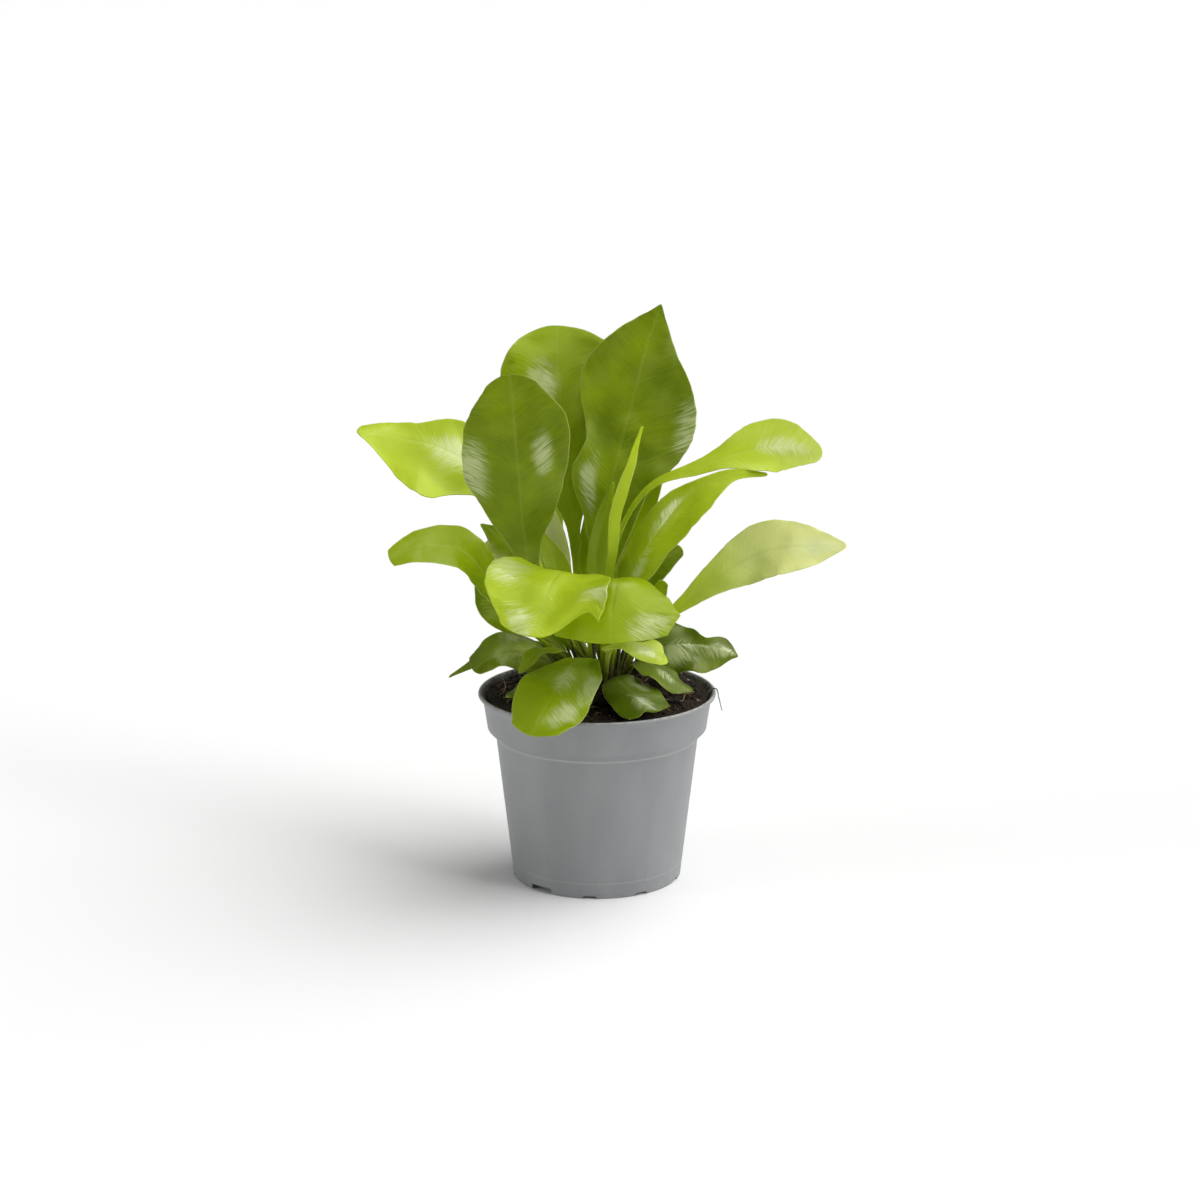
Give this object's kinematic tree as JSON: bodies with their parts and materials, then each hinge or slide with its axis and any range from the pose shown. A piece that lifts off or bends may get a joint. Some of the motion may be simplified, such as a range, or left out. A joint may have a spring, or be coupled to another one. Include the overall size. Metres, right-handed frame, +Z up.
{
  "type": "potted fern",
  "caption": "Houseplant fern with broad undivided wavy fronds fanning out of one crown, in a plain round tapered nursery pot.",
  "frame": {"origin": "middle of the pot's underside, on the surface it stands on", "axes": "+Z up, +X to the right and -Y towards the viewer of the picture"},
  "size_m": [0.2432, 0.1658, 0.2866],
  "materials": {
    "pot_plastic": "satin",
    "potting_soil": "matte",
    "rhizome": "matte",
    "frond": "satin"
  },
  "bodies": {
    "root": {"pot": "pot_plastic", "soil": "potting_soil", "crown": "rhizome", "frond_tall_right": "frond", "frond_tall_middle": "frond", "frond_tall_left": "frond", "frond_upper_left": "frond", "frond_lower_left": "frond", "frond_left_dark": "frond", "frond_front_left": "frond", "frond_front_right": "frond", "frond_front_pale": "frond", "frond_front_drooping": "frond", "frond_front_small": "frond", "frond_front_bluish": "frond", "frond_right_dark": "frond", "frond_left_low": "frond", "frond_left_thin": "frond", "frond_far_right": "frond", "frond_upper_right": "frond", "frond_middle_right": "frond", "frond_slim_upright": "frond", "frond_slim_middle": "frond", "frond_pale_back": "frond", "frond_glossy_back": "frond", "frond_sliver_back": "frond", "frond_dark_left_back": "frond", "frond_dark_right_back": "frond", "frond_pale_right_back": "frond", "frond_soil_left": "frond", "frond_low_left": "frond", "frond_back_tall_right": "frond", "frond_back_tall_left": "frond", "frond_back_right": "frond", "frond_back_low_right": "frond", "frond_back_low_left": "frond", "frond_back_left": "frond"}
  },
  "joints": []
}
